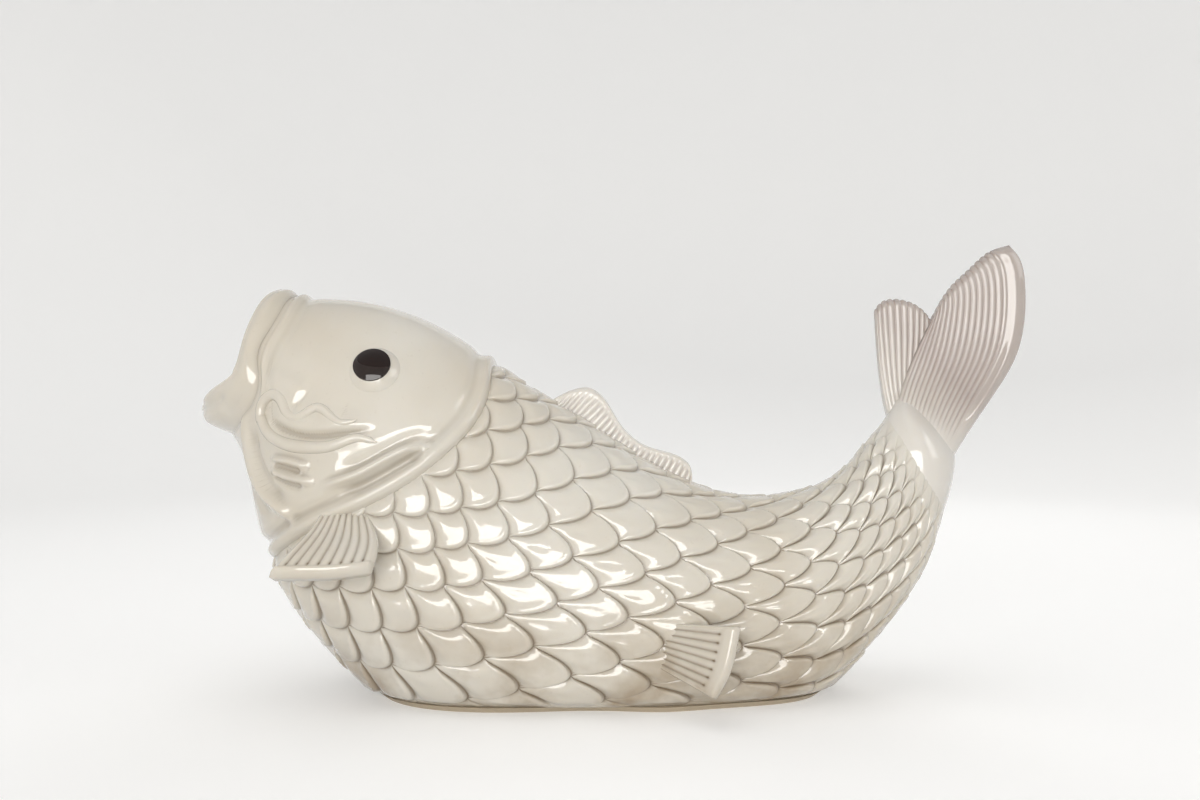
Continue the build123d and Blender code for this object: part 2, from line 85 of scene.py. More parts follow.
# Seams between the castings in the side view
mouth_edge_shares = (
    (-0.385, 0.93), (-0.398, 0.901), (-0.41, 0.88), (-0.4218, 0.836), (-0.4304, 0.786),
    (-0.4338, 0.758), (-0.4375, 0.729), (-0.4415, 0.711), (-0.451, 0.697),
    (-0.4755, 0.676), (-0.4931, 0.654), (-0.503, 0.63), (-0.515, 0.595),
)
lip_groove_shares = (
    (-0.38, 0.915), (-0.387, 0.887), (-0.3915, 0.8405), (-0.399, 0.7986), (-0.4071, 0.7655),
    (-0.41, 0.737), (-0.4075, 0.703), (-0.408, 0.6665), (-0.42, 0.626), (-0.4617, 0.5635),
    (-0.48, 0.545),
)
gill_edge_shares = (
    (-0.14, 0.8), (-0.1445, 0.7324), (-0.1447, 0.6578), (-0.1549, 0.6024), (-0.1791, 0.5476),
    (-0.2222, 0.4811), (-0.2715, 0.4294), (-0.3564, 0.353), (-0.41, 0.28), (-0.45, 0.225),
)

# Scales: staggered columns round the body, free edges towards the tail
scales_around = 18
scale_meridians = 16
scale_tip_shares = (
    0.1500, 0.1743, 0.1994, 0.2251, 0.2513, 0.2780, 0.3053, 0.3331, 0.3628, 0.3962, 0.4337, 0.4741, 0.5148,
    0.5556, 0.5965, 0.6376, 0.6788, 0.7199, 0.7589, 0.7954, 0.8295, 0.8613, 0.8906, 0.9177, 0.9427, 0.9658,
)
scale_reach = 1.5
scale_roundness = 1.8
scale_row_shares = (0.0, 0.035, 0.09, 0.18, 0.3, 0.43, 0.56, 0.69, 0.79, 0.86, 0.91, 0.95, 0.98)
scale_unevenness = 0.05
scale_column_gap = 0.02
scale_tail_fade = (515.0, 552.0)
stem_dip = 1.5
bare_gap = 9.0
bare_rows = 6

# Meshes: points round a piece, and rows along each of its surfaces
head_meridians = 360
head_rows = 220
lip_rows = 34
roll_rows = 14
lining_rows = 60
hollow_rows = 10
stem_meridians = 72
stem_rows = 60
seam_points = 200
seam_halvings = 40
fold_points = 24
cord_points = 60

# How deep hidden flanges reach under a neighbour, and how wide a seam is darkened, partly as pooled glaze and
# partly as painted shade
flange_depth = 5.0
gill_flange_depth = 6.5
seam_shade_width = 1.8
seam_shade = 0.35


def smoothstep(low, high, value):
    """0 below low, 1 above high and a smooth rise between."""
    share = np.clip((value - low) / (high - low), 0, 1)
    return share * share * (3 - 2 * share)


def fall(low, high, value):
    """1 below low, 0 above high and a smooth fall between."""
    return 1 - smoothstep(low, high, value)


def turns(count):
    """The angles of count places round a ring."""
    return np.arange(count) * 2 * math.pi / count


def hump(distance, middle, width):
    """1 at the middle, falling away to both sides over about twice the width."""
    return np.exp(-((distance - middle) / width) ** 2)


def curve_bends(knots, values):
    """Second derivatives of the natural cubic spline through values at knots."""
    gaps = np.diff(knots)
    count = len(knots)
    matrix = np.eye(count)
    slopes = (values[1:] - values[:-1]) / gaps.reshape((-1,) + (1,) * (values.ndim - 1))
    right = np.zeros_like(values)
    for row in range(1, count - 1):
        matrix[row, row - 1:row + 2] = gaps[row - 1], 2 * (gaps[row - 1] + gaps[row]), gaps[row]
        right[row] = 6 * (slopes[row] - slopes[row - 1])
    return np.linalg.solve(matrix, right.reshape(count, -1)).reshape(values.shape)


def path_knots(points):
    """The distance of each point along a row of points."""
    return np.concatenate(([0], np.cumsum(np.linalg.norm(np.diff(points, axis=0), axis=1))))


def spline_at(knots, values, places, column=()):
    """The natural cubic spline at places. Values has a row for each knot, and column picks from the row."""
    bends = curve_bends(knots, values)
    index = np.clip(np.searchsorted(knots, places, side="right") - 1, 0, len(knots) - 2)
    gap = knots[index + 1] - knots[index]
    high = ((places - knots[index]) / gap)[..., None]
    low = 1 - high
    square = (gap * gap / 6)[..., None]
    start, end = (index, *column), (index + 1, *column)
    return (low * values[start] + high * values[end]
            + square * ((low ** 3 - low) * bends[start] + (high ** 3 - high) * bends[end]))


def spline_points(points, shares):
    """Places along a smooth curve through points, at shares of its length."""
    points = np.array(points, float)
    knots = path_knots(points)
    return spline_at(knots, points, np.asarray(shares) * knots[-1])


class Body:
    """The smooth body through the sections. A place on it is its distance along the ring centres
    and its angle from the top of the ring, which grows over the right side."""

    def __init__(self):
        shares = body_section_shares
        along, height = shares[:, (0, 2)] * figure_length, shares[:, (1, 3)] * figure_height
        self.top, self.under = [np.stack((along[:, i], 0 * along[:, 0], height[:, i]), 1) for i in (0, 1)]
        self.centre = (self.top + self.under) / 2
        self.half_height = np.linalg.norm(self.top - self.under, axis=1) / 2
        self.up = (self.top - self.under) / (2 * self.half_height[:, None])
        self.half_width = shares[:, 4] * body_width
        self.knots = path_knots(self.centre)

    def ring_points(self, angles, growth=0.0):
        """Points of every section at the angles: sections x angles x 3."""
        pear, squareness = body_section_shares[:, 5:6], body_section_shares[:, 6:7]
        up, out = np.cos(angles)[None, :], np.sin(angles)[None, :]
        up_part = np.abs(up / (self.half_height[:, None] + growth)) ** squareness
        out_part = np.abs(out / (self.half_width[:, None] + growth)) ** squareness
        radius = (up_part + out_part) ** (-1 / squareness)
        rise = (radius * up)[..., None] * self.up[:, None, :]
        side = (radius * out * (1 + pear * up))[..., None] * np.array((0, 1, 0))
        return self.centre[:, None, :] + rise + side

    def surface(self, places, angles, growth=0.0):
        """Points at places (rows x angles) along the body."""
        rings = self.ring_points(angles, growth)
        column = np.broadcast_to(np.arange(len(angles)), places.shape)
        return spline_at(self.knots, rings, places, (column,))

    def outward(self, places, angles):
        """Unit normals out of the body at the places."""
        step, turn = 0.5, 0.004
        along = self.surface(places + step, angles) - self.surface(places - step, angles)
        around = self.surface(places, angles + turn) - self.surface(places, angles - turn)
        normal = np.cross(along, around)
        return normal / np.linalg.norm(normal, axis=-1, keepdims=True)

    def seam(self, seam_shares, angles):
        """The place along the body where a seam drawn in the side view crosses each angle."""
        curve = spline_points(side_places(seam_shares), np.linspace(0, 1, seam_points))[::-1]
        low, high = np.full(len(angles), 0.0), np.full(len(angles), self.knots[-1])
        for _ in range(seam_halvings):
            middle = (low + high) / 2
            point = self.surface(middle[None, :], angles)[0]
            ahead = point[:, 0] < np.interp(point[:, 2], curve[:, 1], curve[:, 0])
            low, high = np.where(ahead, middle, low), np.where(ahead, high, middle)
        return (low + high) / 2


body = Body()


def side_places(shares):
    """Places of the side view in millimetres: x and z."""
    return np.array([(along * figure_length, height * figure_height) for along, height in shares])


def line_distance(x, z, line):
    """Distance in the side view from places to a line, and how far along it the nearest place is."""
    best = np.full(x.shape, 1e9)
    share = np.zeros(x.shape)
    total = len(line) - 1
    for index in range(total):
        (x0, z0), (x1, z1) = line[index], line[index + 1]
        length = (x1 - x0) ** 2 + (z1 - z0) ** 2
        along = np.clip(((x - x0) * (x1 - x0) + (z - z0) * (z1 - z0)) / length, 0, 1)
        gap = np.hypot(x - x0 - along * (x1 - x0), z - z0 - along * (z1 - z0))
        nearer = gap < best
        best, share = np.where(nearer, gap, best), np.where(nearer, (index + along) / total, share)
    return best, share


# The barbels' lines in the side view, from near the lip to their ends
barbel_line = (
    (-0.4, 0.6176), (-0.397, 0.642), (-0.383, 0.658), (-0.3727, 0.645), (-0.364, 0.618), (-0.3545, 0.6093),
    (-0.3307, 0.6304), (-0.3034, 0.6008), (-0.2841, 0.605),
)
whisker_line = (
    (-0.392, 0.586), (-0.3693, 0.5586), (-0.3375, 0.5502), (-0.3102, 0.5544), (-0.283, 0.5692),
    (-0.2614, 0.5586),
)
barbel_start, whisker_start = (-0.3985, 0.602), (-0.3985, 0.608)

# Relief on the cheeks: each line has its width, its height (a groove is negative) and its side-view places
cheek_lines = (
    ("barbel bed", 15.0, 0.9, barbel_line),
    ("whisker bed", 13.0, 1.0, ((-0.397, 0.605), *whisker_line)),
    ("flap", 17.0, 2.6, (
        (-0.39, 0.633), (-0.36, 0.602), (-0.325, 0.596), (-0.29, 0.593), (-0.26, 0.59),
    )),
    ("pocket", 5.5, -3.6, (
        (-0.388, 0.62), (-0.382, 0.602), (-0.368, 0.585), (-0.346, 0.574), (-0.315, 0.574), (-0.285, 0.58),
        (-0.26, 0.586),
    )),
    ("upper cheek fold", 6.0, 4.8, (
        (-0.329, 0.464), (-0.3171, 0.473), (-0.2851, 0.4936), (-0.2498, 0.5284), (-0.2224, 0.549),
        (-0.2013, 0.551), (-0.196, 0.548),
    )),
    ("over the fold", 8.0, -2.4, (
        (-0.308, 0.5), (-0.284, 0.516), (-0.248, 0.551), (-0.218, 0.573), (-0.196, 0.574),
    )),
    ("under the fold", 7.0, -3.2, (
        (-0.305, 0.456), (-0.28, 0.472), (-0.248, 0.502), (-0.223, 0.525), (-0.206, 0.533),
    )),
    ("first short fold", 5.0, 3.0, (
        (-0.386, 0.525), (-0.368, 0.523), (-0.348, 0.515), (-0.336, 0.506),
    )),
    ("second short fold", 5.0, 3.4, (
        (-0.386, 0.506), (-0.37, 0.492), (-0.346, 0.483), (-0.33, 0.478),
    )),
    ("between the folds", 4.0, -2.4, (
        (-0.382, 0.515), (-0.366, 0.508), (-0.345, 0.499),
    )),
    ("below the folds", 5.0, -2.0, (
        (-0.382, 0.49), (-0.366, 0.478), (-0.342, 0.47),
    )),
    ("jaw ridge", 6.5, 4.2, (
        (-0.429, 0.645), (-0.425, 0.615), (-0.419, 0.542), (-0.411, 0.496), (-0.396, 0.455),
        (-0.368, 0.418), (-0.35, 0.375),
    )),
    ("under the jaw", 7.0, -2.2, (
        (-0.433, 0.57), (-0.429, 0.52), (-0.42, 0.474), (-0.405, 0.436), (-0.38, 0.402),
    )),
    ("behind the jaw", 7.0, -2.0, (
        (-0.413, 0.6), (-0.408, 0.545), (-0.399, 0.506), (-0.384, 0.47), (-0.358, 0.434),
    )),
    ("cheekbone", 16.0, 2.2, (
        (-0.4, 0.69), (-0.385, 0.688), (-0.365, 0.674), (-0.345, 0.65),
    )),
)
lip_lines = (
    ("beak crease", 5.0, -1.6, (
        (-0.515, 0.63), (-0.495, 0.633), (-0.475, 0.639), (-0.457, 0.65), (-0.445, 0.67),
    )),
    ("under the beak", 9.0, 1.4, (
        (-0.505, 0.615), (-0.485, 0.613), (-0.465, 0.616), (-0.445, 0.63),
    )),
    ("lip corner", 9.0, 1.6, (
        (-0.45, 0.735), (-0.443, 0.718), (-0.438, 0.698),
    )),
)
eye_mound_place, eye_mound_radius, eye_mound_rise = (-148.0, 210.0), 18.0, 1.8
line_taper = 0.22
pool_and_shade_bends = (0.05, 0.5)


def drawn_relief(points, lines, flank=(8.0, 22.0)):
    """How far the drawn lines of both sides stand out at points, fading in over the flank's distances."""
    x, y, z = points[..., 0], points[..., 1], points[..., 2]
    height = np.zeros(x.shape)
    for _, width, rise, shares in lines:
        line = spline_points(side_places(shares), np.linspace(0, 1, fold_points))
        gap, share = line_distance(x, z, line)
        ends = smoothstep(0, line_taper, share) * smoothstep(0, line_taper, 1 - share)
        height += rise * ends * hump(gap, 0, width / 2)
    return height * smoothstep(*flank, np.abs(y))


def glaze_pool_and_shade(points, height):
    """Where glaze pools and painted shade falls: 1 in the sharp hollows of a grid of points with a relief
    height.
    """
    across = np.linalg.norm(np.roll(points, -1, 1) - points, axis=-1)
    along = np.linalg.norm(np.diff(points, axis=0), axis=-1)
    along = np.concatenate((along, along[-1:]))
    hollow = (np.roll(height, -1, 1) + np.roll(height, 1, 1) - 2 * height) / across ** 2
    hollow[1:-1] += (height[2:] + height[:-2] - 2 * height[1:-1]) / along[1:-1] ** 2
    return smoothstep(*pool_and_shade_bends, hollow)


def placed(name, data):
    """An object in the scene."""
    piece = bpy.data.objects.new(name, data)
    bpy.context.scene.collection.objects.link(piece)
    return piece


def as_mesh(name, points, faces, floats=None):
    """A mesh object from points in millimetres and faces, smooth shaded, with float attributes."""
    mesh = bpy.data.meshes.new(name)
    mesh.from_pydata((points.reshape(-1, 3) * MM).tolist(), [], faces)
    for key, values in (floats or {}).items():
        attribute = mesh.attributes.new(key, "FLOAT", "POINT")
        attribute.data.foreach_set("value", np.ascontiguousarray(values, np.float32).ravel())
    mesh.polygons.foreach_set("use_smooth", [True] * len(mesh.polygons))
    mesh.update()
    return placed(name, mesh)


def grid_faces(rows, columns, closed):
    """Quads of a grid of points, joined round if closed, with their outer side where rows x columns turns."""
    wide = columns if closed else columns - 1
    faces = []
    for row in range(rows - 1):
        for column in range(wide):
            following = (column + 1) % columns
            start, end = row * columns, (row + 1) * columns
            faces.append((start + column, end + column, end + following, start + following))
    return faces


def mend(piece, join=0.0, loops=()):
    """Merges points nearer than join, closes loops of points with a face and turns every face outwards."""
    shape = bmesh.new()
    shape.from_mesh(piece.data)
    if join:
        bmesh.ops.remove_doubles(shape, verts=shape.verts, dist=join)
    shape.verts.ensure_lookup_table()
    for loop in loops:
        shape.faces.new([shape.verts[index] for index in loop])
    bmesh.ops.recalc_face_normals(shape, faces=shape.faces)
    shape.to_mesh(piece.data)
    shape.free()


def end_loops(rows, columns):
    """The first and the last row of a grid that is joined round, as loops to close."""
    return range(columns), reversed(range((rows - 1) * columns, rows * columns))


# Nodes

def set_inputs(tree, node, inputs):
    """Links each input of a node to the output that it is given, or sets it to the value."""
    for key, value in inputs.items():
        if hasattr(value, "is_output"):
            tree.links.new(value, node.inputs[key])
        else:
            node.inputs[key].default_value = value
    return node


def add_node(tree, kind, inputs=None, **settings):
    """A new node with its settings and inputs."""
    node = tree.nodes.new(kind)
    for key, value in settings.items():
        setattr(node, key, value)
    return set_inputs(tree, node, inputs or {})


def tree_with(name, inputs):
    """An empty geometry node tree with named number inputs, its group input and output nodes."""
    tree = bpy.data.node_groups.new(name, "GeometryNodeTree")
    tree.interface.new_socket("Geometry", in_out="INPUT", socket_type="NodeSocketGeometry")
    for label, value in inputs:
        socket = tree.interface.new_socket(label, in_out="INPUT", socket_type="NodeSocketFloat")
        socket.default_value = value
    tree.interface.new_socket("Material", in_out="INPUT", socket_type="NodeSocketMaterial")
    tree.interface.new_socket("Geometry", in_out="OUTPUT", socket_type="NodeSocketGeometry")
    return tree, tree.nodes.new("NodeGroupInput"), tree.nodes.new("NodeGroupOutput")


class Maths:
    """Short names for the maths nodes of a tree."""

    def __init__(self, tree):
        self.tree = tree

    def do(self, operation, *values):
        return add_node(self.tree, "ShaderNodeMath", dict(enumerate(values)), operation=operation).outputs[0]

    def times(self, first, *others):
        for other in others:
            first = self.do("MULTIPLY", first, other)
        return first

    def minus(self, first, second):
        return self.do("SUBTRACT", first, second)

    def attribute(self, name):
        node = add_node(self.tree, "GeometryNodeInputNamedAttribute", {"Name": name}, data_type="FLOAT")
        return node.outputs["Attribute"]

    def bell(self, distance, width):
        """1 at no distance, falling to nothing over the width."""
        ratio = self.do("DIVIDE", distance, width)
        return self.do("EXPONENT", self.times(ratio, ratio, -1.0))


def finish_tree(tree, group_in, group_out, geometry):
    """Makes the geometry real and sets its material."""
    realize = add_node(tree, "GeometryNodeRealizeInstances", {"Geometry": geometry})
    paint = add_node(tree, "GeometryNodeSetMaterial", {
        "Geometry": realize.outputs["Geometry"], "Material": group_in.outputs["Material"],
    })
    set_inputs(tree, group_out, {"Geometry": paint.outputs["Geometry"]})
    return tree


def finish_relief(tree, maths, group_in, group_out, height, crevice):
    """Moves the surface out by height and stores the crevice shade."""
    normal = add_node(tree, "GeometryNodeInputNormal").outputs[0]
    offset = add_node(tree, "ShaderNodeVectorMath", {0: normal, "Scale": maths.times(height, MM)},
                      operation="SCALE")
    store = add_node(tree, "GeometryNodeStoreNamedAttribute", {
        "Geometry": group_in.outputs["Geometry"], "Name": "crevice", "Value": crevice,
    }, data_type="FLOAT", domain="POINT")
    move = add_node(tree, "GeometryNodeSetPosition", {
        "Geometry": store.outputs["Geometry"], "Offset": offset.outputs[0],
    })
    return finish_tree(tree, group_in, group_out, move.outputs["Geometry"])


def scale_relief_tree():
    """Each scale rises from under the one ahead of it to a rounded, rimmed free edge."""
    inputs = (("Rise", 2.1), ("Edge Roundness", 2.4), ("Rim Height", 0.8), ("Rim Width", 1.1),
              ("Groove Depth", 0.6), ("Front Slope", 4.5), ("Puff", 1.5), ("Full Length", 30.0))
    back_droop, rim_place, front_groove, edge_groove = 0.55, 1.2, 1.0, 0.6
    tree, group_in, group_out = tree_with("scale_relief", inputs)
    maths = Maths(tree)
    value = {label: group_in.outputs[label] for label, _ in inputs}
    ahead, behind, fade = [maths.attribute(name) for name in ("from_edge", "to_edge", "scale_fade")]
    climb = maths.minus(1.0, maths.bell(ahead, value["Front Slope"]))
    back = maths.do("MINIMUM", maths.do("DIVIDE", behind, value["Full Length"]), 1.0)
    tilt = maths.minus(1.0, maths.times(back, back_droop))
    lack = maths.minus(1.0, maths.do("MINIMUM", maths.do("DIVIDE", behind, value["Edge Roundness"]), 1.0))
    roll = maths.do("SQRT", maths.do("MAXIMUM", maths.minus(1.0, maths.times(lack, lack)), 0.0))
    slab = maths.times(value["Rise"], climb, tilt, roll)
    sideways = maths.attribute("scale_across")
    crown = maths.minus(1.0, maths.times(sideways, sideways))
    pillow = maths.times(back, maths.minus(1.0, back), 4.0)
    puff = maths.times(maths.times(pillow, crown), maths.times(climb, value["Puff"]))
    rim_gap = maths.minus(behind, maths.times(value["Edge Roundness"], rim_place))
    rim = maths.times(value["Rim Height"], maths.bell(rim_gap, value["Rim Width"]), climb)
    # The grooves also darken the glaze through the crevice value: partly pooled glaze, partly painted shade
    groove = maths.do("MAXIMUM", maths.bell(ahead, front_groove), maths.bell(behind, edge_groove))
    raised = maths.do("ADD", maths.do("ADD", slab, puff), rim)
    height = maths.times(maths.minus(raised, maths.times(groove, value["Groove Depth"])), fade)
    return finish_relief(tree, maths, group_in, group_out, height, maths.times(groove, fade))


def ray_relief_tree():
    """Rounded fin rays with narrow furrows between them."""
    inputs = (("Ray Height", 0.9), ("Furrow Share", 0.5))
    furrow_power, middle_height, furrow_shade, end_shade = 1.7, 0.6, 0.75, 1.8
    tree, group_in, group_out = tree_with("ray_relief", inputs)
    maths = Maths(tree)
    phase, mask = maths.attribute("ray_phase"), maths.attribute("ray_mask")
    wave = maths.do("ABSOLUTE", maths.do("COSINE", maths.times(phase, math.pi)))
    furrow = maths.do("POWER", maths.minus(1.0, wave), furrow_power)
    ridge = maths.minus(maths.do("POWER", wave, group_in.outputs["Furrow Share"]), middle_height)
    height = maths.times(ridge, group_in.outputs["Ray Height"], mask)
    ends = maths.times(maths.attribute("ray_end"), end_shade)
    shade = maths.do("MAXIMUM", maths.times(mask, furrow_shade), ends)
    return finish_relief(tree, maths, group_in, group_out, height, maths.times(furrow, shade))


def cord_tree():
    """A rounded cord of clay along a curve, tapering by the curve's own radius."""
    tree, group_in, group_out = tree_with("clay_cord", (("Width", 6.0),))
    radius = Maths(tree).times(group_in.outputs["Width"], MM / 2)
    profile = add_node(tree, "GeometryNodeCurvePrimitiveCircle", {"Resolution": 16, "Radius": radius})
    sweep = add_node(tree, "GeometryNodeCurveToMesh", {
        "Curve": group_in.outputs["Geometry"], "Profile Curve": profile.outputs["Curve"],
        "Scale": add_node(tree, "GeometryNodeInputRadius").outputs[0], "Fill Caps": True,
    })
    smooth = add_node(tree, "GeometryNodeSetShadeSmooth", {0: sweep.outputs["Mesh"]})
    return finish_tree(tree, group_in, group_out, smooth.outputs[0])


def grown(piece, tree, material, **numbers):
    """The piece with a node tree applied, as a plain mesh with one material."""
    modifier = piece.modifiers.new(tree.name, "NODES")
    modifier.node_group = tree
    for item in tree.interface.items_tree:
        if item.in_out != "INPUT":
            continue
        key = item.name.lower().replace(" ", "_")
        if key in numbers:
            modifier[item.identifier] = float(numbers[key])
        if item.name == "Material":
            modifier[item.identifier] = material
    piece.update_tag()
    bpy.context.view_layer.update()
    result = bpy.data.meshes.new_from_object(piece.evaluated_get(bpy.context.evaluated_depsgraph_get()))
    name = piece.name
    if piece.type == "CURVE":
        bpy.data.objects.remove(piece)
        piece = placed(name, result)
    else:
        piece.modifiers.clear()
        piece.data = result
    result.name = name
    result.materials.clear()
    result.materials.append(material)
    return piece


# Glazes

def new_material(name, inputs):
    """A material with its node tree and its shader, whose inputs are set."""
    material = bpy.data.materials.new(name)
    material.use_nodes = True
    tree = material.node_tree
    return material, tree, set_inputs(tree, tree.nodes["Principled BSDF"], inputs)


def glaze(name, colour, thin_colour, crevice_colour, speckle=0.5):
    """A thick gloss glaze over pale clay: it is darker in crevices, partly as pooled glaze and partly as
    painted shade, and varies softly in tint.
    """
    material, tree, shader = new_material(name, {
        "Roughness": 0.09, "IOR": 1.5, "Coat Weight": 0.7, "Coat Roughness": 0.03,
        "Subsurface Weight": 0.12, "Subsurface Radius": (1.0, 0.7, 0.4), "Subsurface Scale": 0.003,
    })
    maths = Maths(tree)
    place = add_node(tree, "ShaderNodeTexCoord").outputs["Object"]

    def ramp(value, low, high, start=0.0, end=1.0):
        return add_node(tree, "ShaderNodeMapRange", {
            "Value": value, "From Min": low, "From Max": high, "To Min": start, "To Max": end,
        }).outputs["Result"]

    def noise(scale, detail, low, high):
        cloud = add_node(tree, "ShaderNodeTexNoise", {"Vector": place, "Scale": scale, "Detail": detail})
        return ramp(cloud.outputs[0], low, high)

    def mix(factor, first, second):
        first, second = [value if hasattr(value, "is_output") else (*value, 1) for value in (first, second)]
        return add_node(tree, "ShaderNodeMix", {0: factor, 6: first, 7: second}, data_type="RGBA").outputs[2]

    base = mix(noise(9.0, 3.0, 0.35, 0.68), colour, thin_colour)
    axes = add_node(tree, "ShaderNodeSeparateXYZ", {0: place}).outputs
    # The tail's darker colour comes in far back and high up: partly its own pinkish tint, partly painted
    # shade
    base = mix(ramp(maths.do("ADD", axes["X"], axes["Z"]), 0.37, 0.43), base, tail_tint_and_shade_colour)
    # Brown stain low on the belly
    stained = maths.times(ramp(axes["Z"], 0.075, 0.005), noise(26.0, 4.0, 0.42, 0.64), 0.85)
    base = mix(stained, base, stain_colour)
    base = mix(maths.times(noise(420.0, 2.0, 0.66, 0.74), 0.16 * speckle), base, speck_colour)
    # Crevices are darker, partly as pooled glaze and partly as painted shade, and more so towards the belly
    crevice_pool_and_shade_low = ramp(axes["Z"], 0.16, 0.02, 0.55, 1.0)
    crevice = add_node(tree, "ShaderNodeAttribute", attribute_name="crevice").outputs["Fac"]
    base = mix(maths.times(crevice, crevice_pool_and_shade_low, 0.95), base, crevice_colour)
    ripple = add_node(tree, "ShaderNodeTexNoise", {"Vector": place, "Scale": 55.0})
    bump = add_node(tree, "ShaderNodeBump", {
        "Strength": 0.10, "Distance": 0.0015, "Height": ripple.outputs[0],
    })
    set_inputs(tree, shader, {"Base Color": base, "Normal": bump.outputs["Normal"]})
    return material


def plain(name, colour, roughness):
    """A material of one colour, its node tree and its shader."""
    return new_material(name, {"Base Color": (*colour, 1), "Roughness": roughness})


# The tail's colour is partly its own pinkish tint and partly painted shade
tail_tint_and_shade_colour, stain_colour, speck_colour = (0.43, 0.375, 0.34), (0.32, 0.24, 0.15), (0.30, 0.21, 0.12)
ivory_glaze = glaze("ivory_glaze", (0.65, 0.615, 0.545), (0.575, 0.52, 0.43), (0.16, 0.11, 0.06))
pale_fin_glaze = glaze("pale_fin_glaze", (0.68, 0.645, 0.59), (0.60, 0.56, 0.50), (0.22, 0.14, 0.105), 0.2)
dark_eye_glaze = plain("dark_eye_glaze", (0.012, 0.005, 0.003), 0.03)[0]
bare_clay = plain("bare_clay", (0.50, 0.42, 0.31), 0.6)[0]
relief_of_scales, relief_of_rays, clay_cord = scale_relief_tree(), ray_relief_tree(), cord_tree()


# Body

def column_place(columns):
    """The distance along the body where a column of scales starts; its tips lie 1.5 columns on."""
    tips = np.array(scale_tip_shares) * body.knots[-1]
    return np.interp(columns + 0.5, np.arange(len(tips)), tips)


def scale_edges(turn):
    """For each column of scales: its free edge, counted in columns, and the place across a scale, -1 to 1."""
    columns = np.arange(-1, len(scale_tip_shares) - 2)
    edges, sides = [], []
    for column in columns:
        shifted = turn - 0.5 * (column % 2) + 0.5
        across = shifted % 1 - 0.5
        bow = (1 - np.abs(2 * across) ** scale_roundness) ** (1 / scale_roundness)
        which = np.floor(shifted).astype(int) % scales_around
        uneven = 1 + scale_unevenness * np.sin(which * 2.3 + column * 1.7)
        edges.append(column + scale_reach * bow * uneven)
        sides.append(2 * across)
    apart = scale_column_gap * np.arange(len(columns))[:, None]
    edges = np.maximum.accumulate(np.array(edges) + apart, axis=0)
    return edges - apart * 0.9, np.array(sides)


def make_trunk():
    """The scaled trunk, with the mesh rows running along the free edges of the scales."""
    around = scales_around * scale_meridians
    angles = turns(around)
    edges, sides = scale_edges(np.arange(around) / scale_meridians)
    edge_places = column_place(edges)
    widths = np.linalg.norm(np.diff(body.surface(edge_places, angles), axis=1), axis=-1)
    widths = np.concatenate((widths, widths[:, :1]), axis=1)
    slope = (np.roll(edge_places, -1, 1) - np.roll(edge_places, 1, 1)) / (2 * np.maximum(widths, 0.2))
    lean = 1 / np.sqrt(1 + slope ** 2)

    # Rows over the scales, with the distance from the edge ahead and to the edge behind
    shares = np.array(scale_row_shares)[None, :, None]
    start, length = edge_places[:-1, None, :], np.diff(edge_places, axis=0)[:, None, :]
    places = (start + shares * length).reshape(-1, around)
    ahead = (shares * length * lean[:-1, None, :]).reshape(-1, around)
    behind = ((1 - shares) * length * lean[1:, None, :]).reshape(-1, around)
    sideways = np.repeat(sides[1:], len(scale_row_shares), axis=0)

    # Bare rows to the stem of the tail
    last_place = body.knots[-1] - 0.5
    bare_places = np.linspace(places[-1], np.full(around, last_place), bare_rows)[1:]
    places = np.concatenate((places, bare_places))
    bare = np.full_like(bare_places, bare_gap)
    ahead, behind = np.concatenate((ahead, bare)), np.concatenate((behind, bare))
    sideways = np.concatenate((sideways, np.zeros_like(bare)))
    points, out = body.surface(places, angles), body.outward(places, angles)

    # The skin dips under the head's edge and over the stem, and the scales fade at the gill, stem and foot
    gill = body.seam(gill_edge_shares, angles)
    under_head = fall(gill - 5, gill - 1, places)
    over_stem = smoothstep(body.knots[-1] - 5.0, last_place, places)
    points -= out * (flange_depth * under_head)[..., None]
    points -= out * (stem_dip * over_stem)[..., None]
    points[..., 2] = np.maximum(points[..., 2], foot_height)
    fade = fall(*scale_tail_fade, places) * smoothstep(gill - 3, gill + 5, places)
    fade = fade * smoothstep(foot_height + 0.1, foot_height + 7.0, points[..., 2])

    # The hollow inside, which opens to the throat
    hollow_places = np.linspace(np.full(around, body.knots[cavity_last_section]), places[0], hollow_rows)
    hollow = body.surface(hollow_places, angles, -trunk_skin)
    hollow[..., 2] = np.maximum(hollow[..., 2], foot_height + trunk_skin)
    points = np.concatenate((hollow, points))
    floats = {"from_edge": ahead, "to_edge": behind, "scale_fade": fade, "scale_across": sideways}
    floats = {key: np.concatenate((np.zeros_like(hollow_places), field)) for key, field in floats.items()}
    trunk = as_mesh("scaled_trunk", points, grid_faces(len(points), around, True), floats)
    mend(trunk, loops=end_loops(len(points), around))
    return grown(trunk, relief_of_scales, ivory_glaze)


def head_growth(places):
    """How far the head stands out over the plain body, growing to the gill edge."""
    index = np.interp(places, body.knots, np.arange(len(body.knots)))
    return head_step * index / head_last_section


def casting(name, points, crevice, join):
    """A glazed piece from rows of points round the head."""
    piece = as_mesh(name, points, grid_faces(*points.shape[:2], True), {"crevice": crevice})
    piece.data.materials.append(ivory_glaze)
    mend(piece, join)
    return piece


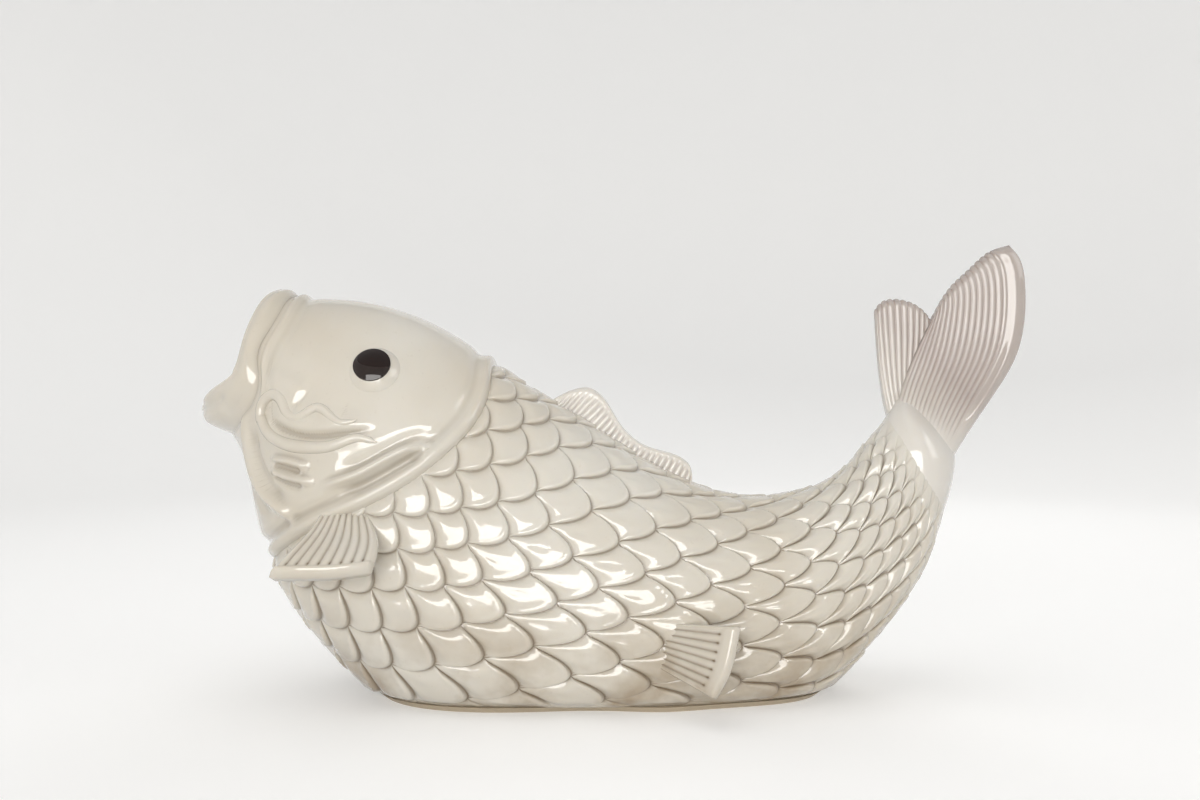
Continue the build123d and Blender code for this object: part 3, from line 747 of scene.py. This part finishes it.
def make_head():
    """The head from the lip groove to the gill edge, with folds, a ridge behind the lip and a gill rim."""
    angles = turns(head_meridians)
    groove, gill = body.seam(lip_groove_shares, angles), body.seam(gill_edge_shares, angles)
    shares = np.linspace(0, 1, head_rows)
    places = groove + shares[:, None] * (gill - groove)
    base, normal = body.surface(places, angles), body.outward(places, angles)
    from_groove, from_gill, from_middle = places - groove, gill - places, np.abs(base[..., 1])
    high_up, low_down = smoothstep(183.0, 205.0, base[..., 2]), fall(150.0, 185.0, base[..., 2])

    # The ridge behind the lip, the rolled edge of the gill, which sinks under the throat, and the eye's mound
    ridge = 2.2 * hump(from_groove, 7.0, 3.0) * high_up
    ridge -= 0.8 * hump(from_groove, 13.0, 4.0) * high_up
    gill_rim = (2.2 + 0.8 * low_down) * hump(from_gill, 6.5, 3.6)
    behind_rim = -(1.6 + 0.8 * low_down) * hump(from_gill, 14.0, 4.0)
    under_throat = fall(25.0, 55.0, from_middle) * fall(110.0, 140.0, base[..., 2])
    gill_rim = gill_rim * (1 - under_throat) - 2.0 * under_throat * fall(0.0, 25.0, from_gill)
    from_eye = np.hypot(base[..., 0] - eye_mound_place[0], base[..., 2] - eye_mound_place[1])
    mound = eye_mound_rise * hump(from_eye, 0, eye_mound_radius) * smoothstep(20.0, 40.0, from_middle)
    relief = ridge + gill_rim + behind_rim + mound + drawn_relief(base, cheek_lines)

    # The surface eases into the groove and turns under at the gill edge
    height = head_growth(places) + relief
    height -= 0.5 * fall(0.0, 2.5, from_groove)
    height -= flange_depth * (1 - np.sqrt(1 - (1 - np.clip(from_gill / 4.5, 0, 1)) ** 2))
    points = base + normal * height[..., None]
    # Darker glaze, partly pooled glaze and partly painted shade, in the lip groove, at the gill edge and in
    # the sharp hollows of the relief
    crevice = seam_shade * hump(from_groove, 0, seam_shade_width) + 0.6 * hump(from_gill, 0, 1.0)
    crevice = np.maximum(crevice, 0.6 * glaze_pool_and_shade(base, relief))
    points = np.concatenate((base[:1] - flange_depth * normal[:1], points,
                             base[-1:] - gill_flange_depth * normal[-1:]))
    crevice = np.concatenate((crevice[:1], crevice, crevice[-1:]))
    return casting("head_casting", points, crevice, 1e-7)


def make_lips():
    """The rolled lips, turning over the rim into the lining of the throat."""
    angles = turns(head_meridians)
    groove, mouth = body.seam(lip_groove_shares, angles), body.seam(mouth_edge_shares, angles)
    roll_radius = wall / 2
    front = mouth + roll_radius
    outer = groove + np.linspace(0, 1, lip_rows)[:, None] * (front - groove)
    base, normal = body.surface(outer, angles), body.outward(outer, angles)
    from_groove = groove - outer
    height = lip_step + 2.4 * hump(outer - front, 5.5, 6.0) - 1.7 * fall(0.0, 8.0, from_groove)
    height = height + drawn_relief(base, lip_lines, (5.0, 13.0))
    rows = [base[:1] - flange_depth * normal[:1], base + normal * height[..., None]]

    # The roll over the rim
    front_row = front[None, :]
    edge, out = body.surface(front_row, angles)[0], body.outward(front_row, angles)[0]
    forward = body.surface(front_row - 1, angles)[0] - body.surface(front_row + 1, angles)[0]
    forward /= np.linalg.norm(forward, axis=-1, keepdims=True)
    outer_height = height[-1][:, None]
    middle, radius = (outer_height - wall) / 2, (outer_height + wall) / 2
    for turn in np.linspace(0, math.pi, roll_rows)[1:]:
        rows.append((edge + out * (middle + radius * math.cos(turn))
                     + forward * roll_radius * math.sin(turn))[None])

    # The lining, which narrows to a point at its far end
    lining_end = body.knots[cavity_last_section] - wall
    lining = np.linspace(front, np.full(head_meridians, lining_end), lining_rows)[1:]
    inside = body.surface(lining, angles, -wall)
    blend = smoothstep(0, 12.0, lining - front)[..., None]
    by_normal = body.surface(lining, angles) - body.outward(lining, angles) * wall
    inside = by_normal * (1 - blend) + inside * blend
    inside[..., 2] = np.maximum(inside[..., 2], foot_height + wall)
    rows.append(inside)
    centre = inside[-1].mean(axis=0)
    rows.append((centre + (inside[-1] - centre) * 0.5)[None])
    rows.append(np.broadcast_to(centre, (1, head_meridians, 3)))
    points = np.concatenate(rows)
    crevice = np.zeros(points.shape[:2])
    # The lip groove is darkened, partly as pooled glaze and partly as painted shade
    crevice[1:lip_rows + 1] = seam_shade * hump(from_groove, 0, seam_shade_width)
    return casting("lips_and_throat", points, crevice, 1e-6)


# Fins

def patch(root, tip, first, last, rows, columns):
    """A sheet of places between four curves: root and tip run across, first and last run outwards."""
    r, q = np.linspace(0, 1, rows), np.linspace(0, 1, columns)
    root, tip = spline_points(root, q)[None], spline_points(tip, q)[None]
    first, last = spline_points(first, r)[:, None], spline_points(last, r)[:, None]
    r, q = r[:, None, None], q[None, :, None]
    corners = ((1 - r) * (1 - q) * first[0] + (1 - r) * q * last[0]
               + r * (1 - q) * first[-1] + r * q * last[-1])
    return (1 - q) * first + q * last + (1 - r) * root + r * tip - corners


def rounded(share, width):
    """A rise from 0 at the edge to 1, rounded like a bead, over a share of the way."""
    return np.sqrt(np.clip(1 - (1 - np.clip(share / width, 0, 1)) ** 2, 0, 1))


def fin_piece(name, middle, half, normal, floats, material, ray_height):
    """A closed plate around a middle sheet, thick by half on each side, with rays on both faces."""
    rows, columns = middle.shape[:2]
    normal = np.array(normal, float) / np.linalg.norm(normal)
    near, far = middle - half[..., None] * normal, middle + half[..., None] * normal
    count = rows * columns
    faces = grid_faces(rows, columns, False)
    faces += [tuple(count + index for index in reversed(face)) for face in grid_faces(rows, columns, False)]
    grid = np.arange(count).reshape(rows, columns)
    border = [*grid[0], *grid[1:, -1], *grid[-1, -2::-1], *grid[-2:0:-1, 0]]
    for vertex, following in zip(border, border[1:] + border[:1]):
        faces.append((vertex, following, count + following, count + vertex))
    points = np.concatenate((near.reshape(-1, 3), far.reshape(-1, 3)))
    floats = {key: np.tile(np.broadcast_to(field, half.shape).ravel(), 2) for key, field in floats.items()}
    fin = as_mesh(name, points, faces, floats)
    mend(fin, 1e-6)
    return grown(fin, relief_of_rays, material, ray_height=ray_height)


def grid_shares(rows, columns):
    """Shares of the way outwards, down the rows, and across, over the columns."""
    return np.linspace(0, 1, rows)[:, None], np.linspace(0, 1, columns)[None, :]


def upright(places, y=0.0):
    """Side-view shares as places in an upright sheet."""
    return [(along * figure_length, y, height * figure_height) for along, height in places]


def make_tail_lobe(name, outline, y, rays, root_half, tip_half, band):
    """One lobe: rays fan from its root and end at its tip edge; the last ray is the thick rear band."""
    rows, columns = 70, 12 * rays
    middle = patch(*[upright(outline[side], y) for side in ("root", "tip", "first", "last")], rows, columns)
    r, q = grid_shares(rows, columns)
    fleshy = np.exp(-r / 0.16)
    plate = rounded(q, 0.05) * rounded(1 - q, max(band * 0.9, 0.05))
    half = (tip_half + (root_half - tip_half) * fleshy) * rounded(1 - r, 0.06)
    half = half * (fleshy * rounded(q, 0.5) * rounded(1 - q, 0.5) + (1 - fleshy) * plate)
    half = half * (1 + 0.5 * smoothstep(1 - band, 1 - band / 2, q) * smoothstep(0.1, 0.3, r))
    mask = smoothstep(0.03, 0.16, r) * fall(1 - band - 0.02, 1 - band, q) * smoothstep(0, 0.02, q)
    floats = {"ray_phase": q / (1 - band) * rays, "ray_mask": mask}
    return fin_piece(name, middle, half, (0, 1, 0), floats, pale_fin_glaze, 1.1)


lower_lobe = {
    "root": ((0.34, 0.62), (0.38, 0.56), (0.41, 0.515)),
    "tip": ((0.386, 0.83), (0.396, 0.8692), (0.413, 0.9122), (0.4276, 0.9371), (0.4458, 0.9688),
            (0.4605, 0.9869), (0.48, 0.9975)),
    "first": ((0.34, 0.62), (0.352, 0.69), (0.368, 0.762), (0.386, 0.83)),
    "last": ((0.41, 0.515), (0.4312, 0.5772), (0.4617, 0.661), (0.4885, 0.7469), (0.499, 0.83),
             (0.4995, 0.91), (0.492, 0.97), (0.48, 0.9975)),
}
upper_lobe = {
    "root": ((0.334, 0.6), (0.352, 0.615), (0.37, 0.64)),
    "tip": ((0.318, 0.85), (0.3265, 0.8692), (0.3484, 0.876), (0.3764, 0.8533), (0.388, 0.825)),
    "first": ((0.334, 0.6), (0.325, 0.69), (0.321, 0.76), (0.318, 0.85)),
    "last": ((0.37, 0.64), (0.382, 0.71), (0.388, 0.77), (0.388, 0.825)),
}


def make_tail_stem():
    """The smooth stem that tapers from the end of the trunk into the lobes."""
    before, end = body_section_shares[-2:]
    rings = ((*before[:4], before[4] * body_width - 1.0), (*end[:4], end[4] * body_width),
             (0.344, 0.65, 0.413, 0.518, 14.0), (0.356, 0.665, 0.409, 0.565, 3.0))
    angles = turns(stem_meridians)
    loops = []
    for top_x, top_z, under_x, under_z, half_width in rings:
        top = np.array((top_x * figure_length, 0, top_z * figure_height))
        under = np.array((under_x * figure_length, 0, under_z * figure_height))
        loops.append((top + under) / 2 + np.cos(angles)[:, None] * (top - under) / 2
                     + np.sin(angles)[:, None] * np.array((0, half_width, 0)))
    loops = np.array(loops)
    knots = path_knots(loops.mean(axis=1))
    points = spline_at(knots, loops.reshape(len(loops), -1), np.linspace(knots[0], knots[-1], stem_rows))
    stem = as_mesh("tail_stem", points, grid_faces(stem_rows, stem_meridians, True))
    mend(stem, loops=end_loops(stem_rows, stem_meridians))
    stem.data.materials.append(pale_fin_glaze)
    return stem


def make_dorsal_fin():
    """The dorsal fin: short rays slanting back, below a plain upper margin."""
    rows, columns = 36, 330
    root = upright(((-0.0816, 0.615), (-0.03, 0.55), (0.035, 0.475), (0.094, 0.43)))
    tip = upright((
        (-0.0816, 0.642), (-0.0487, 0.6723), (-0.0305, 0.6745), (-0.0183, 0.661), (0.0049, 0.5976),
        (0.039, 0.5432), (0.0816, 0.5161), (0.0914, 0.498), (0.094, 0.47),
    ))
    middle = patch(root, tip, (root[0], tip[0]), (root[-1], tip[-1]), rows, columns)
    r, q = grid_shares(rows, columns)
    half = (4.6 - 2.0 * r) * rounded(1 - r, 0.1) * rounded(q, 0.03) * rounded(1 - q, 0.03)
    slant = 0.24 * (1 - q) ** 1.2 + 0.02
    mask = fall(0.74, 0.92, r) * smoothstep(0.03, 0.08, q) * fall(0.965, 0.99, q)
    floats = {"ray_phase": (q - slant * r) * 26, "ray_mask": mask}
    return fin_piece("dorsal_fin_plate", middle, half, (0, 1, 0), floats, pale_fin_glaze, 1.3)


def fan_fin(name, root, span, chord, outline, length, breadth, thickness, rays, side, band, rim):
    """A fan on the flank: a thick plate whose outer face has furrows that stop at a rounded rim."""
    span, chord = np.array(span, float), np.array(chord, float)
    span /= np.linalg.norm(span)
    normal = np.cross(span, chord)
    normal /= np.linalg.norm(normal)
    chord = np.cross(normal, span)

    def place(along, across, sink=0.0):
        point = root + span * along * length + chord * across * breadth + normal * (sink - thickness / 2)
        return (point[0], side * point[1], point[2])

    rows, columns = 44, 22 * rays
    sheet = patch(*[[place(*p) for p in outline[edge]] for edge in ("root", "tip", "first", "last")],
                  rows, columns)
    r, q = grid_shares(rows, columns)
    half = thickness / 2 * rounded(1 - r, 0.04) * rounded(q, 0.05) * rounded(1 - q, 0.05)
    half = half * (0.86 + rim * smoothstep(1 - band, 1 - band + 0.04, r))
    rise_in, fall_out = smoothstep(0.03, 0.07, q), fall(0.93, 0.97, q)
    mask = smoothstep(0.1, 0.3, r) * fall(1 - band - 0.03, 1 - band, r) * rise_in * fall_out
    ray_end = hump(r, 1 - band - 0.02, 0.02) * rise_in * fall_out
    facing = np.array((normal[0], side * normal[1], normal[2]))
    floats = {"ray_phase": (q - 0.06) / 0.88 * rays, "ray_mask": mask, "ray_end": ray_end}
    return fin_piece(name, sheet, half, -facing, floats, ivory_glaze, 1.3)


pectoral_outline = {
    "root": ((-0.45, -0.12, -2.0), (-0.45, 0.12, -1.0), (-0.45, 0.36, -2.0)),
    "tip": ((1.00, -0.5, -2.0), (1.05, -0.2, 0.0), (1.05, 0.15, 0.0), (0.93, 0.5, -2.0)),
    "first": ((-0.45, -0.12, -2.0), (0.05, -0.14, 0.5), (0.45, -0.26, 0.5), (0.75, -0.39, 0.0),
              (1.00, -0.5, -2.0)),
    "last": ((-0.45, 0.36, -2.0), (0.05, 0.42, 0.5), (0.4, 0.52, 0.5), (0.7, 0.54, 0.0),
             (0.93, 0.5, -2.0)),
}
pelvic_outline = {
    "root": ((-0.4, 0.24, 0.0), (-0.4, 0.0, 0.0), (-0.4, -0.24, 0.0)),
    "tip": ((1.06, 0.5, 0.0), (1.06, 0.2, 0.0), (1.03, -0.15, 0.0), (0.9, -0.5, 0.0)),
    "first": ((-0.4, 0.24, 0.0), (0.3, 0.37, 0.0), (1.06, 0.5, 0.0)),
    "last": ((-0.4, -0.24, 0.0), (0.25, -0.37, 0.0), (0.9, -0.5, 0.0)),
}


def flank_tree(node):
    """A search tree over a CAD node, in millimetres."""
    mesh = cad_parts[node].data
    points = [tuple(vertex.co / MM) for vertex in mesh.vertices]
    return BVHTree.FromPolygons(points, [tuple(face.vertices) for face in mesh.polygons])


def on_left_flank(tree, x, z):
    """The place on the fish's left flank at a spot of the side view."""
    hit, normal, _, _ = tree.ray_cast(Vector((x, -300.0, z)), Vector((0, 1, 0)))
    return hit, normal


def make_cord(name, tree, shares, width, rise, side, radii):
    """A clay cord along a line of the cheek, sunk by the rest of its width."""
    line = spline_points(side_places(shares), np.linspace(0, 1, cord_points))
    curve = bpy.data.curves.new(name, "CURVE")
    curve.dimensions = "3D"
    spline = curve.splines.new("POLY")
    spline.points.add(len(line) - 1)
    grow = np.interp(np.linspace(0, 1, len(line)), *zip(*radii))
    for point, (x, z), radius in zip(spline.points, line, grow):
        hit, normal = on_left_flank(tree, x, z)
        centre = hit + normal * (rise - width * radius / 2)
        point.co = (centre.x * MM, side * centre.y * MM, centre.z * MM, 1)
        point.radius = radius
    return grown(placed(name, curve), clay_cord, ivory_glaze, width=width)


def ride_and_stand(piece, slot, *nodes):
    """The piece moves with the figure and stands for CAD nodes, which are hidden; slot is not used."""
    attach(piece, "root")
    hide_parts(*nodes)


# Object

ride_and_stand(make_trunk(), "ivory_glaze", "trunk")
ride_and_stand(make_head(), "ivory_glaze", "head")
ride_and_stand(make_lips(), "ivory_glaze", "mouth_rim")
ride_and_stand(make_tail_stem(), "pale_fin_glaze", "tail_fin")
lobe = make_tail_lobe("lower_tail_lobe", lower_lobe, 0.0, 14, 15.0, 3.5, 0.16)
ride_and_stand(lobe, "pale_fin_glaze", "tail_fin")
lobe = make_tail_lobe("upper_tail_lobe", upper_lobe, 5.0, 10, 11.0, 3.2, 0.04)
ride_and_stand(lobe, "pale_fin_glaze", "tail_fin")
ride_and_stand(make_dorsal_fin(), "pale_fin_glaze", "dorsal_fin")

head_surface, trunk_surface = flank_tree("head"), flank_tree("trunk")
pectoral_root = on_left_flank(head_surface, -0.3110 * figure_length, 0.4155 * figure_height)[0]
pelvic_root = on_left_flank(trunk_surface, 0.0509 * figure_length, 0.1486 * figure_height)[0]

# Each barbel's line, width and the share of the way where it is thickest
cords = (
    ("barbel", (barbel_start, *barbel_line), 7.0, 0.3),
    ("whisker", (whisker_start, *whisker_line), 7.6, 0.4),
)
cord_rise = 4.2
for side, hand in ((1, "left"), (-1, "right")):
    for name, line, width, thickest in cords:
        radii = ((0, 0.9), (thickest, 1.1), (0.8, 0.8), (0.95, 0.5), (1, 0.1))
        cord = make_cord(f"{hand}_{name}_cord", head_surface, line, width, cord_rise, side, radii)
        ride_and_stand(cord, "ivory_glaze", f"{hand}_{name}")
    fin = fan_fin(f"{hand}_pectoral_fan", np.array(pectoral_root), (0.054, -0.824, -0.564), (1.0, 0.06, 0.01),
                  pectoral_outline, 47.0, 57.0, 7.5, 8, side, 0.08, 0.55)
    ride_and_stand(fin, "ivory_glaze", f"{hand}_pectoral_fin")
    fin = fan_fin(f"{hand}_pelvic_fan", np.array(pelvic_root), (0.78, -0.62, -0.09), (0.20, 0.11, 0.97),
                  pelvic_outline, 44.0, 44.0, 8.0, 7, side, 0.15, 0.2)
    ride_and_stand(fin, "ivory_glaze", f"{hand}_pelvic_fin")

for node, material in (("foot_ring", bare_clay), ("left_eye", ivory_glaze), ("right_eye", ivory_glaze),
                       ("left_pupil", dark_eye_glaze), ("right_pupil", dark_eye_glaze)):
    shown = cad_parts[node]
    shown.data.materials.clear()
    shown.data.materials.append(material)
    shown.data.polygons.foreach_set("use_smooth", [True] * len(shown.data.polygons))


# Studio

def area_light(name, place, target, size, power, colour=(1, 1, 1)):
    light = bpy.data.lights.new(name, "AREA")
    light.shape = "RECTANGLE"
    light.size, light.size_y = size
    light.energy = power
    light.color = colour
    lamp = placed(name, light)
    lamp.location = place
    lamp.rotation_euler = (Vector(target) - Vector(place)).to_track_quat("-Z", "Y").to_euler()
    return lamp


def make_floor():
    """A round pale floor that curves up into a wall all round and glows softly where it is seen."""
    flat_radius, bend_radius, wall_top, meridians = 1.6, 0.8, 2.4, 96
    material, tree, shader = plain("pale_floor", (0.70, 0.695, 0.685), 0.7)
    maths, path = Maths(tree), add_node(tree, "ShaderNodeLightPath").outputs
    glow = maths.times(maths.do("MAXIMUM", path["Is Camera Ray"], path["Is Glossy Ray"]), 0.33)
    set_inputs(tree, shader, {"Emission Color": (1.0, 0.99, 0.97, 1), "Emission Strength": glow})
    profile = [(0.01, 0.0), (flat_radius, 0.0)]
    profile += [(flat_radius + math.sin(a) * bend_radius, bend_radius - math.cos(a) * bend_radius)
                for a in np.linspace(0.1, math.pi / 2, 12)]
    profile += [(flat_radius + bend_radius, wall_top)]
    points = np.array([[(r * math.cos(a), r * math.sin(a), z) for a in turns(meridians)]
                       for r, z in profile]) / MM
    floor = as_mesh("pale_floor", points, grid_faces(len(profile), meridians, True))
    floor.data.materials.append(material)


def make_lights():
    """A low window in front, soft light from above, the tail's side and behind, and a bright room."""
    area_light("window", (-0.15, -1.75, 0.36), (0.0, 0.0, 0.16), (1.5, 0.68), 19.0, (1.0, 0.985, 0.96))
    area_light("overhead", (-0.5, -0.3, 2.0), (0.0, 0.0, 0.1), (1.8, 1.8), 12.0).visible_glossy = False
    area_light("tail_side", (1.6, -0.5, 0.9), (0.1, 0.0, 0.15), (0.8, 0.8), 3.0)
    back_fill = area_light("back_fill", (0.5, 1.3, 1.2), (0.0, 0.0, 0.1), (1.4, 1.0), 8.0)
    back_fill.visible_camera = back_fill.visible_glossy = False
    world = bpy.data.worlds.new("soft_room")
    world.use_nodes = True
    room = world.node_tree
    seen = add_node(room, "ShaderNodeLightPath").outputs["Is Camera Ray"]
    strength = Maths(room).do("MULTIPLY_ADD", seen, 0.4, 0.42)
    set_inputs(room, room.nodes["Background"], {"Color": (0.92, 0.94, 0.97, 1), "Strength": strength})
    bpy.context.scene.world = world


def make_camera():
    lens = bpy.data.cameras.new("camera")
    lens.lens = camera_lens
    lens.sensor_width = 36.0
    camera = placed("camera", lens)
    camera.location = [value * MM for value in camera_place]
    camera.rotation_euler = (math.pi / 2, 0, 0)
    bpy.context.scene.camera = camera


make_camera()
make_floor()
make_lights()
bpy.context.scene.view_settings.view_transform = "Standard"
